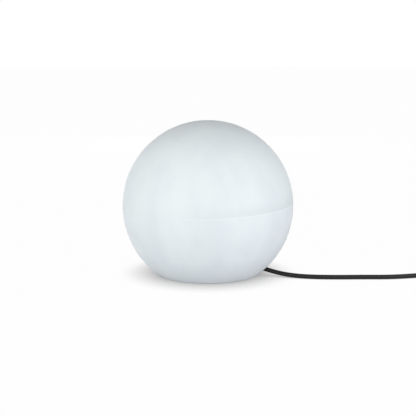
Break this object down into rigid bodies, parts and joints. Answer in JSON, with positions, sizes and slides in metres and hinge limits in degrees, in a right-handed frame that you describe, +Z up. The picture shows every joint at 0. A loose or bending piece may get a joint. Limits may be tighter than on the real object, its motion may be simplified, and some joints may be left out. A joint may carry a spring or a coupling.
{
  "type": "garden globe light",
  "caption": "White outdoor globe light that lifts off a black lamp carrier with a screw-in lamp, sealed cord gland, rubber cord and two-pin plug.",
  "frame": {"origin": "centre of the globe's flat foot, on the ground", "axes": "+Z up; +X to the right as pictured, the side that the cord leaves on; -Y towards the picture's camera"},
  "size_m": [0.6502, 0.3477, 0.27],
  "materials": {
    "globe_plastic": "satin-matt translucent white polyethylene",
    "carrier_plastic": "moulded black, fine texture",
    "foam_rubber": "closed-cell foam",
    "black_rubber": "matt",
    "stainless_steel": "bright, turned",
    "zinc_steel": "zinc-plated sheet",
    "brass": "machined",
    "nickel_brass": "nickel-plated",
    "holder_plastic": "thermoset black, semi-gloss",
    "ceramic": "glazed steatite",
    "gland_plastic": "nylon black",
    "core_brown": "insulation",
    "core_blue": "insulation",
    "cord_rubber": "matt outdoor rubber sheath",
    "silicone": "red silicone",
    "cap_metal": "drawn, bright",
    "cap_glass": "black insulating glass",
    "lamp_plastic": "white",
    "lamp_diffuser": "opal polycarbonate",
    "board_metal": "white-coated aluminium board",
    "led_phosphor": "yellow phosphor",
    "circuit_board": "green board",
    "capacitor_sleeve": "dark sleeve",
    "tie_fabric": "black hook-and-loop",
    "pin_metal": "nickel-plated brass"
  },
  "bodies": {
    "base_unit": {"lamp_carrier": "carrier_plastic", "carrier_gasket": "foam_rubber", "carrier_screws": "stainless_steel", "rubber_feet": "black_rubber", "holder_plate": "zinc_steel", "plate_screws": "stainless_steel", "nipple_tube": "zinc_steel", "nipple_nut": "zinc_steel", "lampholder_body": "holder_plastic", "lampholder_insulator": "ceramic", "terminal_blocks": "brass", "terminal_screws": "stainless_steel", "lampholder_screw_shell": "nickel_brass", "lampholder_centre_contact": "brass", "conductor_brown": "core_brown", "conductor_blue": "core_blue", "gland_body": "gland_plastic", "gland_locknut": "gland_plastic", "gland_washer": "black_rubber", "gland_seal": "black_rubber", "gland_nut": "gland_plastic", "cord_inner_end": "cord_rubber", "cord_clamp": "carrier_plastic", "clamp_screws": "stainless_steel", "power_cord": "cord_rubber", "cord_coil": "cord_rubber", "cord_tie": "tie_fabric", "plug_tail": "cord_rubber", "plug_body": "black_rubber", "plug_face": "gland_plastic", "plug_pins": "pin_metal"},
    "globe": {"globe_shell": "globe_plastic", "thread_inserts": "brass"},
    "bulb_carriage": {"bulb_seal": "silicone"},
    "bulb": {"bulb_screw_cap": "cap_metal", "bulb_cap_insulator": "cap_glass", "bulb_centre_contact": "cap_metal", "bulb_housing": "lamp_plastic", "bulb_diffuser": "lamp_diffuser", "led_board": "board_metal", "led_chips": "led_phosphor", "driver_board": "circuit_board", "driver_capacitor": "capacitor_sleeve"}
  },
  "joints": [
    {"name": "globe_lift", "type": "slide", "parent": "base_unit", "child": "globe", "axis": [0, 0, 1], "range_m": [0, 0.18]},
    {"name": "bulb_climb", "type": "slide", "parent": "base_unit", "child": "bulb_carriage", "axis": [0, 0, 1], "range_m": [0, 0.02]},
    {"name": "bulb_turn", "type": "hinge", "parent": "bulb_carriage", "child": "bulb", "pos_m": [0, 0, 0.05], "axis": [0, 0, 1], "range_deg": [0, 1980]}
  ],
  "couplings": [
    {"joint": "bulb_climb", "follows": "bulb_turn", "m_per_rad": 0.00057757}
  ]
}
